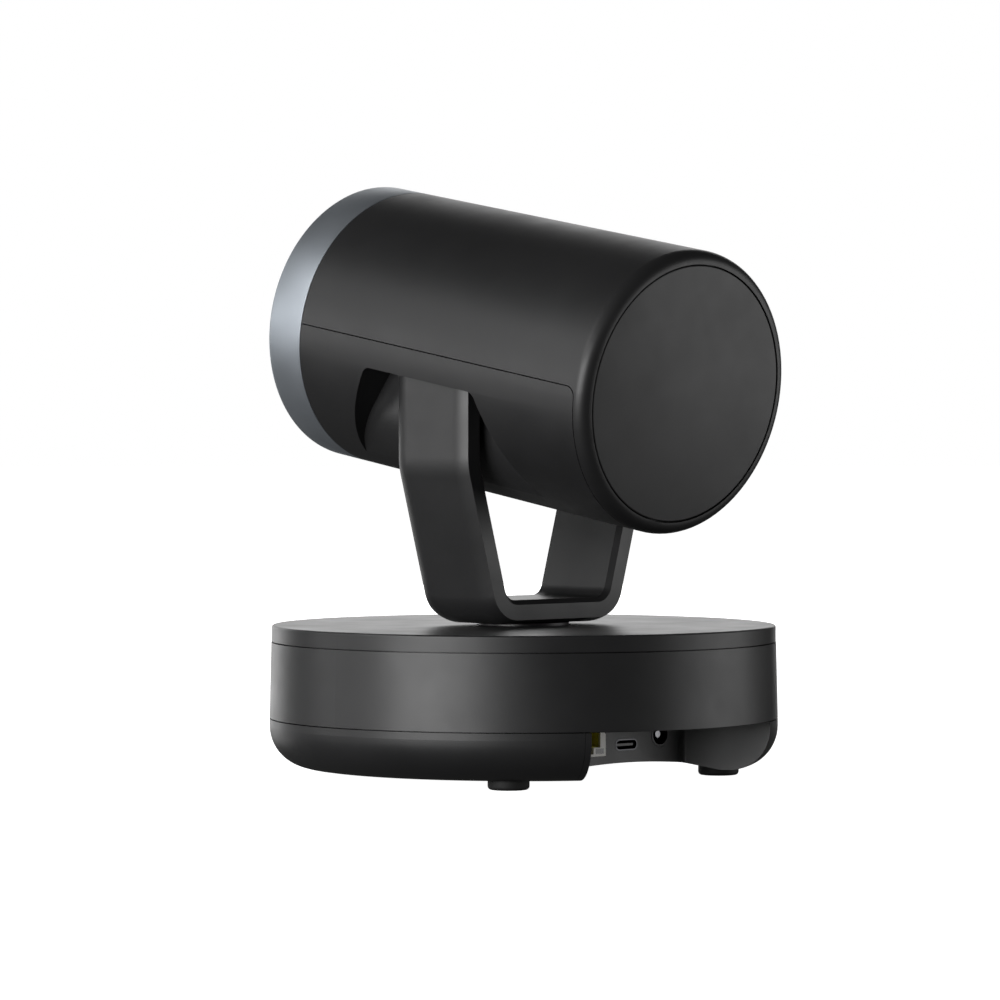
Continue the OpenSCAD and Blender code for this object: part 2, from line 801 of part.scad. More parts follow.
module yoke_screws() {
    color(steel) hub_screw_places() translate([0, 0, web_top]) screw(9);
}

module tilt_stub(inner_x) {
    translate([0, 0, pivot_z]) rotate([0, 90, 0]) difference() {
        union() {
            translate([0, 0, side_plate_x - 0.1]) cylinder(r = stub_r, h = arm_in_x - side_plate_x + 0.1);
            translate([0, 0, inner_x]) cylinder(r = tilt_gear_bore, h = arm_in_x - inner_x);
            translate([0, 0, arm_in_x - stub_flange_t]) cylinder(r = stub_flange_r, h = stub_flange_t);
            translate([0, 0, arm_in_x - 0.5]) cylinder(r = spigot_r, h = arm_end_t + 0.5);
        }
        cylinder(r = stub_bore_r, h = far);
    }
}

module tilt_stub_left() {
    color(steel) mirror([1, 0, 0]) tilt_stub(side_plate_x - 1);
}

module tilt_stub_right() {
    color(steel) tilt_stub(tilt_gear_x - 0.3);
}

module stub_nuts() {
    color(brass) for (side = [0, 1]) mirror([side, 0, 0])
        translate([arm_end_x - nut_t, 0, pivot_z]) rotate([0, 90, 0]) difference() {
            cylinder(r = nut_r, h = nut_t, $fn = 6);
            translate([0, 0, -1]) cylinder(r = spigot_r, h = nut_t + 2);
        }
}

// The tilt gear stands still on the arm while the head and its pinion turn round it
module tilt_gear() {
    color([0.85, 0.84, 0.78]) in_head() rotate([0, 90, 0]) translate([0, 0, tilt_gear_x]) difference() {
        linear_extrude(tilt_gear_w) gear_outline(tilt_teeth);
        translate([0, 0, -1]) cylinder(r = tilt_gear_bore, h = tilt_gear_w + 2);
    }
}

// ---------- head shells ----------

// Side view of the lower shell's edge: straight seam, round corner, rear seam
module lower_outline(grow) {
    rear = rear_seam_s + seam / 2 - grow;
    top = seam_h - seam / 2 + grow;
    r = seam_corner_r + grow;
    polygon(concat([[rear, -far]], arc([rear + r, top - r], r, 180, 90, 8), [[far, top], [far, -far]]));
}

// Side view of a pocket: flat top, slanted walls, rounded upper corners
module pocket_outline(grow) {
    half = pocket_half + grow / cos(pocket_slant);
    r = pocket_corner_r;
    low = head_r + 10;
    corner_s = half + pocket_top * tan(pocket_slant) - r * (1 - sin(pocket_slant)) / cos(pocket_slant);
    corner = arc([corner_s, -pocket_top - r], r, 90, pocket_slant, 8);
    side = concat(corner, [[half + low * tan(pocket_slant), -low]]);
    polygon(concat(side, mirrored(side)));
}

// Cross-section of the space outside a pocket's inner wall, wall moved inwards by grow
module pocket_section(grow) {
    polygon(concat([[far, far], [pocket_x - grow, far]],
        arc([pocket_c_x, pocket_y], pocket_r - grow, 0, -70, 28),
        [[pocket_c_x + pocket_r * cos(70), -far], [far, -far]]));
}

// Both pockets' spaces, walls moved outwards by grow and limited to a radius about the head's axis
module pockets(grow, limit_r) {
    for (side = [0, 1]) mirror([side, 0, 0]) intersection() {
        across(far) translate([pocket_forward, 0]) pocket_outline(grow);
        linear_extrude(far, center = true) intersection() {
            pocket_section(grow);
            circle(limit_r);
        }
    }
}

module skin(from_s, to_s) {
    translate([0, 0, from_s]) tube(head_r, skin_in_r, to_s - from_s);
}

module upper_shell() {
    rear_s = -head_rear;
    color(plastic) in_head() difference() {
        union() {
            difference() {
                skin(rear_s + rear_edge_r, ring_s - seam / 2);
                across(far) lower_outline(seam);
            }
            rotate_extrude() {
                translate([head_r - rear_edge_r, rear_s + rear_edge_r]) intersection() {
                    circle(rear_edge_r);
                    translate([0, -far]) square([far, far]);
                }
                translate([rear_hole_r, rear_wall_s]) square([spigot_out_r - rear_hole_r, rear_wall_t]);
            }
            translate([0, 0, rear_wall_s]) tube(spigot_out_r, spigot_in_r, rear_seam_s + 4 - rear_wall_s);
            translate([0, 0, rear_s + rear_edge_r - 0.5])
                tube(head_r - 0.1, spigot_in_r, rear_seam_s - seam / 2 - rear_s - rear_edge_r + 0.5);
        }
        shell_screw_places() {
            cylinder(r = shell_screw_r + 0.2, h = far, center = true);
            translate([0, 0, rear_wall_s - 5]) cylinder(r = 2.4, h = 5 + 1.4);
        }
    }
}

module shell_screw_places() {
    for (a = [225, 315]) rotate(a) translate([shell_post_r, 0, 0]) children();
}

module lower_shell() {
    color(plastic) in_head() difference() {
        union() {
            intersection() {
                skin(rear_seam_s, ring_s - seam / 2);
                across(far) lower_outline(0);
            }
            pocket_walls();
            shell_lips();
            shell_posts();
            chassis_bosses();
        }
        pockets(0, head_r + 5);
        shell_screw_places() translate([0, 0, -far]) cylinder(r = shell_screw_r, h = far - 54);
        for (p = chassis_screw_at) translate([p[0], -34, p[1]]) rotate([-90, 0, 0])
            cylinder(r = screw_r, h = far);
    }
}

module pocket_walls() {
    pockets(pocket_wall, skin_in_r + 0.5);
}

// Lips that stand behind the straight seams
module shell_lips() {
    low = -3;
    intersection() {
        translate([0, 0, rear_seam_s + 6]) tube(spigot_out_r, spigot_in_r, ring_s - rear_seam_s - 13);
        across(far) translate([-far, low]) square([2 * far, seam_h + 2.2 - low]);
    }
    intersection() {
        translate([0, 0, rear_seam_s + 6]) tube(skin_in_r + 0.1, spigot_in_r, ring_s - rear_seam_s - 13);
        across(far) translate([-far, low]) square([2 * far, seam_h - seam / 2 - low]);
    }
}

module shell_posts() {
    front = -52;
    shell_screw_places() {
        translate([0, 0, rear_wall_s + rear_wall_t]) cylinder(r = 3, h = front - rear_wall_s - rear_wall_t);
        translate([0, -1.2, rear_seam_s + 5])
            cube([skin_in_r - shell_post_r + 0.5, 2.4, front - rear_seam_s - 5]);
    }
}

module chassis_bosses() {
    for (p = chassis_screw_at) intersection() {
        translate([p[0], -far, p[1]]) rotate([-90, 0, 0]) cylinder(r = 3, h = far + chassis_bottom);
        cylinder(r = skin_in_r + 0.5, h = far, center = true);
    }
}

module rear_cap() {
    chamfer = 0.4;
    color(plastic) in_head() translate([0, 0, -head_rear]) {
        rotate_extrude() polygon([[0, 0.1], [cap_r - chamfer, 0.1], [cap_r, 0.1 + chamfer],
            [cap_r, cap_t], [0, cap_t]]);
        translate([0, 0, cap_t - 0.5]) tube(rear_hole_r - slip, rear_hole_r - 2, rear_wall_t + 1.5);
    }
}

module front_ring() {
    lip = 1.1;
    color([0.6, 0.63, 0.67]) in_head() difference() {
        union() {
            translate([0, 0, ring_s + seam / 2]) rotate_extrude() {
                square([head_r, ring_len - seam / 2 - 1]);
                translate([head_r - 1, ring_len - seam / 2 - 1]) circle(1, $fn = 32);
                square([head_r - 1, ring_len - seam / 2]);
            }
            translate([0, 0, ring_s - 5]) cylinder(r = spigot_out_r, h = 6);
        }
        translate([0, 0, ring_s - 6]) cylinder(r = spigot_in_r, h = 9);
        translate([0, 0, ring_s + 2]) cylinder(r = bezel_r, h = ring_len - 2 - lip);
        cylinder(r = bezel_r - lip, h = far);
    }
}

module front_bezel() {
    back = nose_s - 3;
    color(dark) in_head() rotate_extrude() polygon([[bezel_r, bezel_front],
        [bezel_r - 1.4, bezel_front], [nose_r + 1, back + 1.6], [nose_r + slip, back + 1.6],
        [nose_r + slip, back], [nose_r + 1.5, back], [bezel_r - 1.8, bezel_front - 1.7],
        [bezel_r, bezel_front - 1.7]]);
}

// ---------- inside the head ----------

module head_chassis() {
    depth = chassis_front_s - chassis_rear_s;
    half_w = side_plate_x + side_plate_t;
    height = chassis_top - chassis_bottom;
    color(steel) in_head() difference() {
        union() {
            for (x = [-half_w, side_plate_x])
                translate([x, chassis_bottom, chassis_rear_s]) cube([side_plate_t, height, depth]);
            translate([-half_w, chassis_bottom, chassis_rear_s]) cube([2 * half_w, 2, depth]);
            translate([-half_w, chassis_bottom, chassis_front_s - 2]) cube([2 * half_w, height, 2]);
            translate([tilt_gear_x - 2.4, chassis_bottom, chassis_rear_s])
                cube([1.2, 34, 24]);
        }
        rotate([0, 90, 0]) cylinder(r = bush_r, h = far, center = true);
        cylinder(r = barrel_r, h = far);
        translate([0, 0, -tilt_centres]) rotate([0, 90, 0]) cylinder(r = 3, h = side_plate_x - 1);
        for (p = chassis_screw_at) translate([p[0], -far / 2, p[1]]) rotate([-90, 0, 0])
            cylinder(r = screw_hole_r, h = far / 2);
    }
}

module tilt_bushes() {
    color(brass) in_head() for (side = [0, 1]) mirror([side, 0, 0])
        translate([side_plate_x, 0, 0]) rotate([0, 90, 0]) {
            tube(bush_r, stub_r + run_gap, side_plate_t);
            translate([0, 0, side_plate_t]) tube(bush_flange_r, stub_r + run_gap, bush_flange_t);
        }
}

module tilt_motor() {
    face = tilt_gear_x - 2.4;
    length = 15;
    color(steel) in_head() translate([0, 0, -tilt_centres]) rotate([0, 90, 0]) difference() {
        union() {
            translate([0, 0, face - length]) cylinder(r = 8, h = length);
            translate([0, 0, face - 0.5]) cylinder(r = 2.9, h = 1.7);
        }
        translate([0, 0, face - 8]) cylinder(r = 1.2 + run_gap, h = far);
    }
}

module tilt_pinion() {
    turn = 180 / pinion_teeth;
    color(brass) in_head() translate([0, 0, -tilt_centres]) rotate([0, 90, 0]) {
        translate([0, 0, tilt_gear_x]) rotate(turn) linear_extrude(tilt_gear_w)
            gear_outline(pinion_teeth);
        translate([0, 0, tilt_gear_x - 9]) cylinder(r = 1.2, h = tilt_gear_w + 9.5);
    }
}

module lens_barrel() {
    color(dark) in_head() difference() {
        union() {
            translate([0, 0, barrel_rear_s]) cylinder(r = barrel_r, h = barrel_step_s - barrel_rear_s + 1);
            translate([0, 0, barrel_step_s]) cylinder(r = nose_r, h = nose_s - barrel_step_s);
            for (a = [45:90:359]) rotate(a) translate([14, 0, barrel_rear_s - 1.6])
                cylinder(r = 1.5, h = 2);
        }
        translate([0, 0, barrel_rear_s - 1]) cylinder(r = 6, h = 4);
        translate([0, 0, barrel_rear_s + 2])
            cylinder(r = barrel_in_r, h = rear_bulkhead_s - barrel_rear_s - 2);
        translate([0, 0, rear_bulkhead_s - 1]) cylinder(r = 5, h = far);
        translate([0, 0, rear_bulkhead_s + bulkhead_t])
            cylinder(r = barrel_in_r, h = front_bulkhead_s - rear_bulkhead_s - bulkhead_t);
        translate([0, 0, front_bulkhead_s - 1]) cylinder(r = 10, h = far);
        translate([0, 0, barrel_step_s + 3]) cylinder(r = nose_in_r, h = far);
        for (y = [-rod_y, rod_y]) translate([0, y, rear_bulkhead_s]) cylinder(r = rod_r, h = far / 2);
    }
}

module front_lens() {
    edge_s = nose_s - 2.5;
    color(lens_blue) in_head() intersection() {
        translate([0, 0, barrel_step_s + 3]) cylinder(r = nose_in_r, h = far);
        translate([0, 0, edge_s - sqrt(dome_r * dome_r - pow(nose_in_r - 1.5, 2))]) sphere(dome_r);
        translate([0, 0, nose_s - 9]) cylinder(r = far, h = far);
    }
}

module lens_retainer() {
    color(dark) in_head() difference() {
        translate([0, 0, nose_s - 2.5]) tube(nose_in_r, nose_in_r - 1.5, 2.5);
        translate([0, 0, nose_s - 1]) cylinder(r1 = nose_in_r - 1.5, r2 = nose_in_r - 0.5, h = 1.01);
    }
}

module rear_lens() {
    length = rear_bulkhead_s - barrel_rear_s - 2;
    color(lens_blue) in_head() translate([0, 0, barrel_rear_s + 2]) intersection() {
        cylinder(r = barrel_in_r, h = length);
        translate([0, 0, length - 40]) sphere(40);
    }
}

module sensor_board() {
    rear = barrel_rear_s - 3.2;
    color(board_green) in_head() {
        translate([-16.5, -15, rear]) cube([33, 30, 1.6]);
        translate([-5.5, -4.5, rear + 1.5]) cube([11, 9, 1.3]);
        translate([-14, -12, rear - 2]) cube([8, 4, 2.1]);
    }
}

module guide_rods() {
    color(steel) in_head() for (y = [-rod_y, rod_y]) translate([0, y, rear_bulkhead_s])
        cylinder(r = rod_r, h = front_bulkhead_s + bulkhead_t - rear_bulkhead_s);
}

// Small motor of a lens group, side = 1 for zoom and -1 for focus
module lens_motor(side) {
    translate([side * lead_at, lead_at, rear_bulkhead_s + bulkhead_t]) difference() {
        cylinder(r = lens_motor_r, h = 6);
        translate([0, 0, 2]) cylinder(r = lead_r + run_gap, h = 5);
    }
}

module lead_screw(side) {
    translate([side * lead_at, lead_at, rear_bulkhead_s + bulkhead_t + 2.5])
        cylinder(r = lead_r, h = front_bulkhead_s - rear_bulkhead_s - bulkhead_t - 2.7);
}

// Cell of a moving lens group: ring, two ears on the rods and a nut on its lead screw
module lens_cell(side, length) {
    difference() {
        union() {
            cylinder(r = cell_r, h = length);
            translate([-1.5, -rod_y, 0]) cube([3, 2 * rod_y, length]);
            for (y = [-rod_y, rod_y]) translate([0, y, 0]) cylinder(r = 2, h = length);
            translate([side * lead_at, lead_at, 0]) cylinder(r = 2.6, h = length);
            rotate(90 - side * 45) translate([0, -1.5, 0]) cube([lead_at * sqrt(2) - 2, 3, length]);
        }
        for (y = [-rod_y, rod_y]) translate([0, y, -1]) cylinder(r = rod_r + run_gap, h = length + 2);
        translate([side * lead_at, lead_at, -1]) cylinder(r = lead_r + run_gap, h = length + 2);
        translate([0, 0, length - 1]) cylinder(r = cell_lens_r, h = 2);
    }
}

module zoom_motor() {
    color(steel) in_head() lens_motor(1);
}

module focus_motor() {
    color(steel) in_head() lens_motor(-1);
}

module zoom_screw() {
    color(steel) in_head() lead_screw(1);
}

module focus_screw() {
    color(steel) in_head() lead_screw(-1);
}

module zoom_group() {
    color(dark) in_head() translate([0, 0, zoom_s]) lens_cell(1, 4);
}

module focus_group() {
    color(dark) in_head() translate([0, 0, focus_s]) lens_cell(-1, 3);
}

module processor_board() {
    color(board_green) in_head() translate([0, 0, chassis_rear_s - 1.6]) {
        translate([-24, chassis_bottom + 2, 0]) cube([48, 46, 1.6]);
        translate([-9, -6, -1.4]) cube([18, 18, 1.5]);
    }
}

module heat_sink() {
    fins = 9;
    width = 36;
    color([0.6, 0.6, 0.62]) in_head() translate([-width / 2, -12, chassis_rear_s - 3]) {
        translate([0, 0, -2]) cube([width, 30, 2]);
        for (i = [0:fins - 1]) translate([i * (width - 1.2) / (fins - 1), 0, -11]) cube([1.2, 30, 9.5]);
    }
}

module chassis_screws() {
    color(steel) in_head() for (p = chassis_screw_at) translate([p[0], chassis_bottom + 2, p[1]])
        rotate([-90, 0, 0]) screw(10);
}

module shell_screws() {
    color(steel) in_head() shell_screw_places() translate([0, 0, rear_wall_s + 1.4])
        rotate([180, 0, 0]) screw(7, shell_screw_r, 2.25, 1.4);
}

base_tray();
base_band();
base_top_cover();
port_bay();
rubber_feet();
casing_screws();
tripod_insert();
base_chassis();
interface_board();
board_screws();
ethernet_jack();
ethernet_contacts();
ethernet_leds();
usb_c_shell();
usb_c_tongue();
dc_jack_body();
dc_jack_pin();
pan_motor();
pan_bearing_outer();
pan_bearing_balls();
ir_window();
status_light();
pan_pinion();
yoke();
yoke_cable_cover();
neck_hub();
pan_bearing_inner();
pan_gear();
retaining_ring();
yoke_screws();
tilt_stub_left();
tilt_stub_right();
stub_nuts();
tilt_gear();
upper_shell();
lower_shell();
rear_cap();
front_ring();
front_bezel();
head_chassis();
tilt_bushes();
lens_barrel();
front_lens();
lens_retainer();
rear_lens();
sensor_board();
guide_rods();
zoom_motor();
focus_motor();
tilt_motor();
processor_board();
heat_sink();
chassis_screws();
shell_screws();
tilt_pinion();
zoom_group();
focus_group();
zoom_screw();
focus_screw();
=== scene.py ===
"""Looks of a desktop pan-tilt-zoom camera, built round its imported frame. Metres, +Z up."""
import json
import math

import bmesh
import bpy
from mathutils import Matrix, Vector


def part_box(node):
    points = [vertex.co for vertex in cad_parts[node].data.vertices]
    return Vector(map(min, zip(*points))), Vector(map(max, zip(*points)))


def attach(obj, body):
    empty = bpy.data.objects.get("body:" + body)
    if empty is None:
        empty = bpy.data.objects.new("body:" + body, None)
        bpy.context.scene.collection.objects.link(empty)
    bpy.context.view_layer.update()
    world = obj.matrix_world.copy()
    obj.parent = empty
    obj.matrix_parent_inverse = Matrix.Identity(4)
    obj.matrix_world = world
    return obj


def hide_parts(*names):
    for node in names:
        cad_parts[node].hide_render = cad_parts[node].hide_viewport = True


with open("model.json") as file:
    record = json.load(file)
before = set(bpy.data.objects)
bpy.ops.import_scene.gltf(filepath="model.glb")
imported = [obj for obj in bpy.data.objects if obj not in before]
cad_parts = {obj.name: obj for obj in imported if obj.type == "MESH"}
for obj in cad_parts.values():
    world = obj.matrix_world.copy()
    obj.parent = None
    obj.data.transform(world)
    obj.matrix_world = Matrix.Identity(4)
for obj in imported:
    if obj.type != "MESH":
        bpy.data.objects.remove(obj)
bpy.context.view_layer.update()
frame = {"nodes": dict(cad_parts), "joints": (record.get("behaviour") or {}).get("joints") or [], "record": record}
record = frame["record"]
nodes = frame["nodes"]
MM = 0.001

# Places that the frame gives
joints = {joint["name"]: joint for joint in frame["joints"]}
pivot = Vector(joints["tilt"]["pos_m"])
forward = Vector(joints["zoom"]["axis"]).normalized()
head_turn = Matrix(((1, 0, 0), (0, forward.z, -forward.y), forward)).transposed()
head_place = Matrix.Translation(pivot) @ head_turn.to_4x4()


# ---------- shapes ----------

def rounded(points, steps=5):
    """A closed outline from (x, y, fillet) corners, each fillet drawn as an arc."""
    outline = []
    for i, (x, y, fillet) in enumerate(points):
        corner = Vector((x, y))
        if not fillet:
            outline.append(corner)
            continue
        before = (Vector(points[i - 1][:2]) - corner).normalized()
        after = (Vector(points[(i + 1) % len(points)][:2]) - corner).normalized()
        half = before.angle(after) / 2
        centre = corner + (before + after).normalized() * fillet / math.sin(half)
        start = corner + before * fillet / math.tan(half) - centre
        end = corner + after * fillet / math.tan(half) - centre
        turn = start.angle_signed(end)
        for step in range(steps + 1):
            outline.append(centre + Matrix.Rotation(-turn * step / steps, 2) @ start)
    return outline


def loop_of(mesh, outline, place=Matrix.Identity(4)):
    """Adds a closed loop of vertices and edges for (x, z) points in the XZ plane."""
    verts = [mesh.verts.new(place @ Vector((p[0], 0, p[1]))) for p in outline]
    return [mesh.edges.new((verts[i - 1], verts[i])) for i in range(len(verts))]


def finish_piece(mesh, name, body, slot_name, replaced=(), place=Matrix.Identity(4), sharp=35,
                 surface=None):
    """Turns a bmesh into a named piece in the row frame and hands it to the frame."""
    bmesh.ops.remove_doubles(mesh, verts=mesh.verts, dist=1e-7)
    bmesh.ops.recalc_face_normals(mesh, faces=mesh.faces)
    bmesh.ops.transform(mesh, matrix=place, verts=mesh.verts)
    for face in mesh.faces:
        face.smooth = True
    data = bpy.data.meshes.new(name)
    mesh.to_mesh(data)
    mesh.free()
    data.set_sharp_from_angle(angle=math.radians(sharp))
    piece = bpy.data.objects.new(name, data)
    bpy.context.scene.collection.objects.link(piece)
    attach(piece, body)
    if replaced:
        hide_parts(*replaced)
    piece.data.materials.append(surface or finishes[slot_name])
    return piece


def lathe(points, segments=192):
    """A solid of revolution about Z from (radius, height, fillet) corners in millimetres."""
    mesh = bmesh.new()
    outline = rounded([(r * MM, z * MM, fillet * MM) for r, z, fillet in points])
    edges = loop_of(mesh, outline)
    bmesh.ops.spin(mesh, geom=edges + [v for v in mesh.verts], cent=(0, 0, 0), axis=(0, 0, 1),
                   angle=math.tau, steps=segments, use_merge=True, use_duplicate=False)
    bmesh.ops.remove_doubles(mesh, verts=mesh.verts, dist=1e-7)
    bmesh.ops.dissolve_degenerate(mesh, dist=1e-8, edges=mesh.edges)
    return mesh


# ---------- finishes ----------

def blank(name):
    material = bpy.data.materials.new(name)
    material.use_nodes = True
    return material, material.node_tree.nodes, material.node_tree.links


def noise(tree, links, coords, scale, detail=3.0, roughness=0.5):
    texture = tree.new("ShaderNodeTexNoise")
    texture.inputs["Scale"].default_value = scale
    texture.inputs["Detail"].default_value = detail
    texture.inputs["Roughness"].default_value = roughness
    links.new(coords, texture.inputs["Vector"])
    return texture.outputs["Fac"]


def ramp(tree, links, source, low, high, start=0.3, end=0.7):
    """Maps a pattern onto a range of greys or colours."""
    blend = tree.new("ShaderNodeValToRGB")
    blend.color_ramp.elements[0].position = start
    blend.color_ramp.elements[1].position = end
    blend.color_ramp.elements[0].color = low if len(low) == 4 else (*low, 1)
    blend.color_ramp.elements[1].color = high if len(high) == 4 else (*high, 1)
    links.new(source, blend.inputs["Fac"])
    return blend.outputs["Color"]


def grey(value):
    return (value, value, value, 1)


def surface_finish(name, low, high, rough, grain, depth, metallic=0.0, specular=0.5, stretch=None,
                   patch=28.0, **extra):
    """Base finish: patchy colour, cloudy gloss and a fine grain, all from the piece's own coordinates.

    low and high are the colour's two ends, rough the two ends of the roughness, grain the size of
    the grain in metres and depth its height. stretch turns the grain into brushing along an axis.
    """
    material, tree, links = blank(name)
    shader = tree["Principled BSDF"]
    coords = tree.new("ShaderNodeTexCoord").outputs["Object"]
    patches = noise(tree, links, coords, patch, 4)
    links.new(ramp(tree, links, patches, low, high), shader.inputs["Base Color"])
    cloud = noise(tree, links, coords, patch * 2.3, 6, 0.6)
    links.new(ramp(tree, links, cloud, grey(rough[0]), grey(rough[1])), shader.inputs["Roughness"])
    fine = coords
    if stretch:
        mapping = tree.new("ShaderNodeMapping")
        mapping.inputs["Scale"].default_value = stretch
        links.new(coords, mapping.inputs["Vector"])
        fine = mapping.outputs["Vector"]
    bump = tree.new("ShaderNodeBump")
    bump.inputs["Strength"].default_value = 1.0
    bump.inputs["Distance"].default_value = depth
    links.new(noise(tree, links, fine, 1 / grain, 2), bump.inputs["Height"])
    links.new(bump.outputs["Normal"], shader.inputs["Normal"])
    shader.inputs["Metallic"].default_value = metallic
    shader.inputs["Specular IOR Level"].default_value = specular
    for socket, value in extra.items():
        shader.inputs[socket.replace("_", " ")].default_value = value
    return material


def circuit_finish(name):
    """Green solder resist with faint tracks under it."""
    material, tree, links = blank(name)
    shader = tree["Principled BSDF"]
    coords = tree.new("ShaderNodeTexCoord").outputs["Object"]
    tracks = tree.new("ShaderNodeTexBrick")
    tracks.inputs["Scale"].default_value = 160
    tracks.inputs["Mortar Size"].default_value = 0.03
    tracks.inputs["Color1"].default_value = (0.008, 0.075, 0.035, 1)
    tracks.inputs["Color2"].default_value = (0.01, 0.09, 0.04, 1)
    tracks.inputs["Mortar"].default_value = (0.03, 0.16, 0.07, 1)
    links.new(coords, tracks.inputs["Vector"])
    links.new(tracks.outputs["Color"], shader.inputs["Base Color"])
    cloud = noise(tree, links, coords, 120)
    links.new(ramp(tree, links, cloud, grey(0.25), grey(0.4)), shader.inputs["Roughness"])
    return material


def glass_with_painted_shade(name):
    """Coated optical glass coloured nearly black as painted shade for the dark inside of the lens, with faint
    violet patches as a painted coating reflection.
    """
    material, tree, links = blank(name)
    shader = tree["Principled BSDF"]
    coords = tree.new("ShaderNodeTexCoord").outputs["Object"]
    # Painted shade: the nearly black base colour stands in for the dark inside of the lens, and its faint violet
    # patches are a painted coating reflection.
    painted_shade_and_sheen = noise(tree, links, coords, 22, 1)
    links.new(ramp(tree, links, painted_shade_and_sheen, (0.006, 0.008, 0.016), (0.012, 0.01, 0.03)),
              shader.inputs["Base Color"])
    links.new(ramp(tree, links, noise(tree, links, coords, 90, 4), grey(0.015), grey(0.05)),
              shader.inputs["Roughness"])
    shader.inputs["Transmission Weight"].default_value = 0.35
    shader.inputs["IOR"].default_value = 1.52
    shader.inputs["Coat Weight"].default_value = 0.8
    shader.inputs["Coat Tint"].default_value = (0.55, 0.6, 1.0, 1)
    shader.inputs["Coat Roughness"].default_value = 0.02
    return material


finishes = {
    "black_plastic": surface_finish("matt charcoal moulding", (0.011, 0.011, 0.0115), (0.015, 0.015, 0.0155),
                                    (0.40, 0.47), 0.00032, 0.000006),
    "dark_plastic": surface_finish("smooth black moulding", (0.006, 0.006, 0.007), (0.010, 0.010, 0.011),
                                   (0.32, 0.42), 0.0003, 0.000004),
    "gear_plastic": surface_finish("natural gear plastic", (0.62, 0.60, 0.52), (0.70, 0.68, 0.60),
                                   (0.35, 0.5), 0.0004, 0.000006, Subsurface_Weight=0.1),
    "foot_rubber": surface_finish("foot rubber", (0.010, 0.010, 0.010), (0.018, 0.018, 0.018),
                                  (0.6, 0.75), 0.00025, 0.00001, specular=0.3),
    "steel": surface_finish("zinc-plated steel", (0.50, 0.50, 0.52), (0.60, 0.60, 0.62),
                            (0.22, 0.36), 0.0005, 0.000004, metallic=1.0),
    "blackened_steel": surface_finish("dark plated steel", (0.05, 0.05, 0.053), (0.09, 0.09, 0.095),
                                      (0.28, 0.40), 0.0004, 0.000003, metallic=1.0),
    "sheet_aluminium": surface_finish("rolled aluminium sheet", (0.55, 0.56, 0.58), (0.64, 0.65, 0.67),
                                      (0.3, 0.42), 0.0002, 0.000004, metallic=1.0, stretch=(1, 0.06, 1)),
    "ring_aluminium": surface_finish("satin blue-grey aluminium", (0.34, 0.37, 0.405), (0.38, 0.41, 0.445),
                                     (0.42, 0.5), 0.00025, 0.000003, metallic=0.85),
    "brass": surface_finish("turned brass", (0.62, 0.42, 0.15), (0.72, 0.52, 0.22),
                            (0.2, 0.34), 0.0003, 0.000003, metallic=1.0),
    "circuit_board": circuit_finish("circuit board"),
    "ivory_plastic": surface_finish("ivory connector plastic", (0.86, 0.84, 0.76), (0.93, 0.91, 0.84),
                                    (0.3, 0.42), 0.0004, 0.000004),
    "dark_lens": surface_finish("dark indicator lens", (0.012, 0.014, 0.012), (0.02, 0.024, 0.02),
                                (0.08, 0.16), 0.0006, 0.000002),
    "infrared_window": surface_finish("infrared window", (0.010, 0.002, 0.004), (0.018, 0.003, 0.006),
                                      (0.04, 0.09), 0.001, 0.000001, Coat_Weight=1.0),
    "light_pipe": surface_finish("light pipe", (0.62, 0.66, 0.7), (0.72, 0.76, 0.8),
                                 (0.2, 0.3), 0.0005, 0.000002, Subsurface_Weight=0.3),
    "optical_glass": glass_with_painted_shade("coated glass with painted shade"),
}

olive_lining = surface_finish("olive jack lining", (0.62, 0.58, 0.03), (0.74, 0.70, 0.05),
                              (0.35, 0.5), 0.0004, 0.000004)

slot_of = {sub["node"]: sub["material_slot"] for sub in record["subparts"]}
for node, cad in nodes.items():
    cad.data.materials.clear()
    cad.data.materials.append(finishes[slot_of[node]])


# ---------- yoke ----------

yoke_low, yoke_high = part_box("yoke")
strap_half_width = yoke_high.x
strap_half_depth = yoke_high.y
strap_bottom = yoke_low.z
strap_top = pivot.z - 4 * MM
strap_thickness = 5.85 * MM
crown_drop = 1.35 * MM
crown_run = 5.5 * MM
cover_thickness = 1.35 * MM
arm_end_thickness = 4.7 * MM
arm_end_radius = 12 * MM
lower_bend = 11.4 * MM
upper_bend = 23.4 * MM
kink_drop = 29.1 * MM
arm_lean = math.radians(15.5)


def strap_bends():
    """Centres of the two bends and the ends of the leaning straight between them, in the XZ plane."""
    upper = Vector((strap_half_width - upper_bend, 0, pivot.z - kink_drop))
    lean_top = upper + upper_bend * Vector((math.cos(arm_lean), 0, -math.sin(arm_lean)))
    lower_z = strap_bottom + lower_bend
    lean_foot_z = lower_z - lower_bend * math.sin(arm_lean)
    lean_foot_x = lean_top.x - (lean_top.z - lean_foot_z) * math.tan(arm_lean)
    lower = Vector((lean_foot_x - lower_bend * math.cos(arm_lean), 0, lower_z))
    return upper, lean_top, lower, Vector((lean_foot_x, 0, lean_foot_z))


def pull(mesh, edges, travel):
    """Extrudes a loop of edges along a vector and gives the new loop."""
    grown = bmesh.ops.extrude_edge_only(mesh, edges=edges)["geom"]
    bmesh.ops.translate(mesh, vec=travel, verts=[g for g in grown if isinstance(g, bmesh.types.BMVert)])
    return [g for g in grown if isinstance(g, bmesh.types.BMEdge) and g.is_boundary]


def bend(mesh, edges, centre, angle, steps):
    """Spins a loop of edges upwards about a bend's centre and gives the new loop."""
    verts = list({v for edge in edges for v in edge.verts})
    turned = bmesh.ops.spin(mesh, geom=verts + edges, cent=centre, axis=(0, 1, 0), angle=-angle, steps=steps,
                            use_merge=False, use_duplicate=False)["geom_last"]
    return [g for g in turned if isinstance(g, bmesh.types.BMEdge)]


